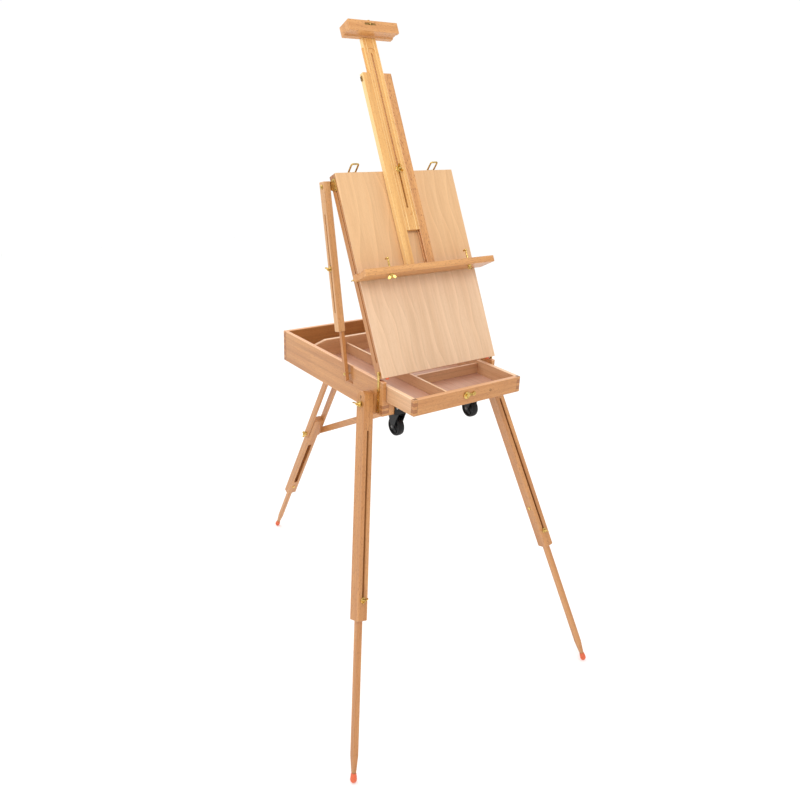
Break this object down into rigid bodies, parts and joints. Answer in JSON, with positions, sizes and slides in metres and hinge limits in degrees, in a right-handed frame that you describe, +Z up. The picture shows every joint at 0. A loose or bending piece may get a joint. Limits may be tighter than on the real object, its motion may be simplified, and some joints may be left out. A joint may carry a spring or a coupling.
{
  "type": "french box easel",
  "caption": "Folding sketch box easel on three telescoping legs, with a pull-out drawer, a hinged lid carrying a canvas ledge, and a sliding mast with a top clamp.",
  "frame": {"origin": "on the floor, under the middle of the three feet's footprint", "axes": "+Z up, +X to the artist's right, -Y towards the artist"},
  "size_m": [0.9064, 1.308, 1.8861],
  "materials": {
    "box_left_wall": "clear satin varnish on beech",
    "box_right_wall": "clear satin varnish on beech",
    "box_back_wall": "clear satin varnish on beech",
    "box_front_rail": "clear satin varnish on beech",
    "box_bottom": "clear satin varnish on pale plywood",
    "hinge_strap_left": "polished brass",
    "hinge_strap_right": "polished brass",
    "leg_wedge_left": "clear satin varnish on beech",
    "leg_wedge_right": "clear satin varnish on beech",
    "rear_leg_block": "clear satin varnish on steamed beech",
    "castor_bracket_left": "black moulded plastic",
    "castor_bracket_right": "black moulded plastic",
    "drawer_front": "clear satin varnish on beech",
    "drawer_left_side": "clear satin varnish on beech",
    "drawer_right_side": "clear satin varnish on beech",
    "drawer_back": "clear satin varnish on pale plywood",
    "drawer_bottom": "clear satin varnish on pale plywood",
    "drawer_long_divider": "clear satin varnish on pale plywood",
    "drawer_cross_divider": "clear satin varnish on pale plywood",
    "drawer_clasp": "polished brass",
    "lid_panel": "clear satin varnish on pale plywood",
    "lid_left_stile": "clear satin varnish on beech",
    "lid_right_stile": "clear satin varnish on beech",
    "lid_bottom_rail": "clear satin varnish on beech",
    "lid_top_rail": "clear satin varnish on beech",
    "canvas_ledge": "clear satin varnish on steamed beech",
    "mast_left_rail": "clear satin varnish on steamed beech",
    "mast_right_rail": "clear satin varnish on steamed beech",
    "mast_slider": "clear satin varnish on steamed beech",
    "clamp_block": "clear satin varnish on steamed beech",
    "mast_lock_bolt": "polished brass",
    "rear_leg_bar_left": "clear satin varnish on steamed beech",
    "rear_leg_bar_right": "clear satin varnish on steamed beech",
    "rear_leg_middle": "clear satin varnish on beech",
    "rear_leg_inner": "clear satin varnish on beech",
    "rear_leg_tip": "orange-red rubber",
    "rear_brace_front": "clear satin varnish on beech",
    "rear_brace_rear": "clear satin varnish on beech",
    "lid_catch_left": "polished brass",
    "carrier_wing_left": "polished brass",
    "strut_rod_left": "clear satin varnish on steamed beech",
    "strut_sleeve_left": "clear satin varnish on beech",
    "strut_wing_left": "polished brass",
    "leg_left_outer": "clear satin varnish on beech",
    "leg_left_inner": "clear satin varnish on beech",
    "leg_left_tip": "orange-red rubber",
    "leg_pivot_wing_left": "polished brass",
    "leg_lock_wing_left": "polished brass",
    "castor_wheel_left": "black moulded plastic",
    "lid_catch_right": "polished brass",
    "carrier_wing_right": "polished brass",
    "strut_rod_right": "clear satin varnish on steamed beech",
    "strut_sleeve_right": "clear satin varnish on beech",
    "strut_wing_right": "polished brass",
    "leg_right_outer": "clear satin varnish on beech",
    "leg_right_inner": "clear satin varnish on beech",
    "leg_right_tip": "orange-red rubber",
    "leg_pivot_wing_right": "polished brass",
    "leg_lock_wing_right": "polished brass",
    "castor_wheel_right": "black moulded plastic"
  },
  "bodies": {
    "box": {"box_left_wall": "box_left_wall", "box_right_wall": "box_right_wall", "box_back_wall": "box_back_wall", "box_front_rail": "box_front_rail", "box_bottom": "box_bottom", "hinge_strap_left": "hinge_strap_left", "hinge_strap_right": "hinge_strap_right", "leg_wedge_left": "leg_wedge_left", "leg_wedge_right": "leg_wedge_right", "rear_leg_block": "rear_leg_block", "castor_bracket_left": "castor_bracket_left", "castor_bracket_right": "castor_bracket_right"},
    "drawer": {"drawer_front": "drawer_front", "drawer_left_side": "drawer_left_side", "drawer_right_side": "drawer_right_side", "drawer_back": "drawer_back", "drawer_bottom": "drawer_bottom", "drawer_long_divider": "drawer_long_divider", "drawer_cross_divider": "drawer_cross_divider"},
    "drawer_clasp": {"drawer_clasp": "drawer_clasp"},
    "lid": {"lid_panel": "lid_panel", "lid_left_stile": "lid_left_stile", "lid_right_stile": "lid_right_stile", "lid_bottom_rail": "lid_bottom_rail", "lid_top_rail": "lid_top_rail"},
    "carrier": {"canvas_ledge": "canvas_ledge", "mast_left_rail": "mast_left_rail", "mast_right_rail": "mast_right_rail"},
    "slider": {"mast_slider": "mast_slider", "clamp_block": "clamp_block"},
    "mast_lock": {"mast_lock_bolt": "mast_lock_bolt"},
    "rear_leg": {"rear_leg_bar_left": "rear_leg_bar_left", "rear_leg_bar_right": "rear_leg_bar_right"},
    "rear_middle": {"rear_leg_middle": "rear_leg_middle"},
    "rear_shin": {"rear_leg_inner": "rear_leg_inner", "rear_leg_tip": "rear_leg_tip"},
    "brace_front": {"rear_brace_front": "rear_brace_front"},
    "brace_rear": {"rear_brace_rear": "rear_brace_rear"},
    "lid_catch_left": {"lid_catch_left": "lid_catch_left"},
    "carrier_wing_left": {"carrier_wing_left": "carrier_wing_left"},
    "strut_left": {"strut_rod_left": "strut_rod_left"},
    "sleeve_left": {"strut_sleeve_left": "strut_sleeve_left"},
    "strut_wing_left": {"strut_wing_left": "strut_wing_left"},
    "leg_left": {"leg_left_outer": "leg_left_outer"},
    "shin_left": {"leg_left_inner": "leg_left_inner", "leg_left_tip": "leg_left_tip"},
    "leg_pivot_wing_left": {"leg_pivot_wing_left": "leg_pivot_wing_left"},
    "leg_lock_wing_left": {"leg_lock_wing_left": "leg_lock_wing_left"},
    "castor_left": {"castor_wheel_left": "castor_wheel_left"},
    "lid_catch_right": {"lid_catch_right": "lid_catch_right"},
    "carrier_wing_right": {"carrier_wing_right": "carrier_wing_right"},
    "strut_right": {"strut_rod_right": "strut_rod_right"},
    "sleeve_right": {"strut_sleeve_right": "strut_sleeve_right"},
    "strut_wing_right": {"strut_wing_right": "strut_wing_right"},
    "leg_right": {"leg_right_outer": "leg_right_outer"},
    "shin_right": {"leg_right_inner": "leg_right_inner", "leg_right_tip": "leg_right_tip"},
    "leg_pivot_wing_right": {"leg_pivot_wing_right": "leg_pivot_wing_right"},
    "leg_lock_wing_right": {"leg_lock_wing_right": "leg_lock_wing_right"},
    "castor_right": {"castor_wheel_right": "castor_wheel_right"}
  },
  "joints": [
    {"name": "drawer_slide", "type": "slide", "parent": "box", "child": "drawer", "axis": [0, 1, 0], "range_m": [-0.2, 0.1205]},
    {"name": "drawer_clasp_turn", "type": "hinge", "parent": "drawer", "child": "drawer_clasp", "pos_m": [-0.0105, -0.49505, 0.9655], "axis": [0, 1, 0], "range_deg": [-90, 90]},
    {"name": "lid_hinge", "type": "hinge", "parent": "box", "child": "lid", "pos_m": [0, -0.35439, 1.01408], "axis": [1, 0, 0], "range_deg": [-63.5, 5]},
    {"name": "carrier_slide", "type": "slide", "parent": "lid", "child": "carrier", "axis": [0, 0.4461, 0.895], "range_m": [-0.215, 0.236]},
    {"name": "mast_slide", "type": "slide", "parent": "carrier", "child": "slider", "axis": [0, 0.4461, 0.895], "range_m": [-0.0955, 0.104]},
    {"name": "mast_lock_turn", "type": "hinge", "parent": "carrier", "child": "mast_lock", "pos_m": [0, -0.13958, 1.51339], "axis": [0, -0.895, 0.4461], "continuous": true},
    {"name": "lid_catch_turn_left", "type": "hinge", "parent": "lid", "child": "lid_catch_left", "pos_m": [-0.1335, -0.1058, 1.50046], "axis": [1, 0, 0], "range_deg": [-150, 22]},
    {"name": "carrier_wing_turn_left", "type": "hinge", "parent": "carrier", "child": "carrier_wing_left", "pos_m": [-0.201, -0.24032, 1.24292], "axis": [1, 0, 0], "continuous": true},
    {"name": "strut_hinge_left", "type": "hinge", "parent": "box", "child": "strut_left", "pos_m": [-0.2048, -0.20375, 0.97], "axis": [1, 0, 0], "range_deg": [-75.53, 5.96]},
    {"name": "strut_slide_left", "type": "slide", "parent": "strut_left", "child": "sleeve_left", "axis": [0, 0.2129, 0.9771], "range_m": [-0.13822, 0.01097]},
    {"name": "strut_wing_turn_left", "type": "hinge", "parent": "strut_left", "child": "strut_wing_left", "pos_m": [-0.2048, -0.1416, 1.25521], "axis": [1, 0, 0], "continuous": true},
    {"name": "leg_hinge_left", "type": "hinge", "parent": "box", "child": "leg_left", "pos_m": [-0.2225, -0.32875, 0.925], "axis": [0.9719, 0, -0.2353], "range_deg": [-8, 108.55]},
    {"name": "leg_slide_left", "type": "slide", "parent": "leg_left", "child": "shin_left", "axis": [0.2231, 0.3182, 0.9214], "range_m": [0, 0.4]},
    {"name": "leg_pivot_wing_turn_left", "type": "hinge", "parent": "leg_left", "child": "leg_pivot_wing_left", "pos_m": [-0.2225, -0.32875, 0.925], "axis": [-0.9719, 0, 0.2353], "continuous": true},
    {"name": "leg_lock_wing_turn_left", "type": "hinge", "parent": "shin_left", "child": "leg_lock_wing_left", "pos_m": [-0.33841, -0.49404, 0.44633], "axis": [0.0749, -0.948, 0.3092], "continuous": true},
    {"name": "castor_spin_left", "type": "hinge", "parent": "box", "child": "castor_left", "pos_m": [-0.133, -0.35175, 0.852], "axis": [1, 0, 0], "continuous": true},
    {"name": "lid_catch_turn_right", "type": "hinge", "parent": "lid", "child": "lid_catch_right", "pos_m": [0.1335, -0.1058, 1.50046], "axis": [1, 0, 0], "range_deg": [-150, 22]},
    {"name": "carrier_wing_turn_right", "type": "hinge", "parent": "carrier", "child": "carrier_wing_right", "pos_m": [0.201, -0.24032, 1.24292], "axis": [1, 0, 0], "continuous": true},
    {"name": "strut_hinge_right", "type": "hinge", "parent": "box", "child": "strut_right", "pos_m": [0.2048, -0.20375, 0.97], "axis": [1, 0, 0], "range_deg": [-75.53, 5.96]},
    {"name": "strut_slide_right", "type": "slide", "parent": "strut_right", "child": "sleeve_right", "axis": [0, 0.2129, 0.9771], "range_m": [-0.13822, 0.01097]},
    {"name": "strut_wing_turn_right", "type": "hinge", "parent": "strut_right", "child": "strut_wing_right", "pos_m": [0.2048, -0.1416, 1.25521], "axis": [1, 0, 0], "continuous": true},
    {"name": "leg_hinge_right", "type": "hinge", "parent": "box", "child": "leg_right", "pos_m": [0.2225, -0.32875, 0.925], "axis": [0.9719, 0, 0.2353], "range_deg": [-8, 108.55]},
    {"name": "leg_slide_right", "type": "slide", "parent": "leg_right", "child": "shin_right", "axis": [-0.2231, 0.3182, 0.9214], "range_m": [0, 0.4]},
    {"name": "leg_pivot_wing_turn_right", "type": "hinge", "parent": "leg_right", "child": "leg_pivot_wing_right", "pos_m": [0.2225, -0.32875, 0.925], "axis": [0.9719, 0, 0.2353], "continuous": true},
    {"name": "leg_lock_wing_turn_right", "type": "hinge", "parent": "shin_right", "child": "leg_lock_wing_right", "pos_m": [0.33841, -0.49404, 0.44633], "axis": [-0.0749, -0.948, 0.3092], "continuous": true},
    {"name": "castor_spin_right", "type": "hinge", "parent": "box", "child": "castor_right", "pos_m": [0.133, -0.35175, 0.852], "axis": [1, 0, 0], "continuous": true},
    {"name": "rear_leg_hinge", "type": "hinge", "parent": "box", "child": "rear_leg", "pos_m": [0, 0.16203, 0.868], "axis": [1, 0, 0], "range_deg": [-119.33, 0]},
    {"name": "rear_middle_slide", "type": "slide", "parent": "rear_leg", "child": "rear_middle", "axis": [0, -0.4901, 0.8716], "range_m": [-0.03, 0.262]},
    {"name": "rear_shin_slide", "type": "slide", "parent": "rear_middle", "child": "rear_shin", "axis": [0, -0.4901, 0.8716], "range_m": [-0.03, 0.214]},
    {"name": "brace_front_hinge", "type": "hinge", "parent": "box", "child": "brace_front", "pos_m": [0.0436, -0.27375, 0.868], "axis": [1, 0, 0], "range_deg": [-0.01, 27.96]},
    {"name": "brace_middle_hinge", "type": "hinge", "parent": "brace_front", "child": "brace_rear", "pos_m": [0.0385, 0.0623, 0.68972], "axis": [1, 0, 0], "range_deg": [-180.01, 0.01]}
  ],
  "couplings": [
    {"joint": "strut_hinge_left", "follows": "lid_hinge", "ratio": 1.1892},
    {"joint": "strut_slide_left", "follows": "lid_hinge", "m_per_rad": 0.12462},
    {"joint": "strut_hinge_right", "follows": "lid_hinge", "ratio": 1.1892},
    {"joint": "strut_slide_right", "follows": "lid_hinge", "m_per_rad": 0.12462},
    {"joint": "brace_front_hinge", "follows": "rear_leg_hinge", "ratio": -0.23416},
    {"joint": "brace_middle_hinge", "follows": "rear_leg_hinge", "ratio": 1.5082}
  ]
}
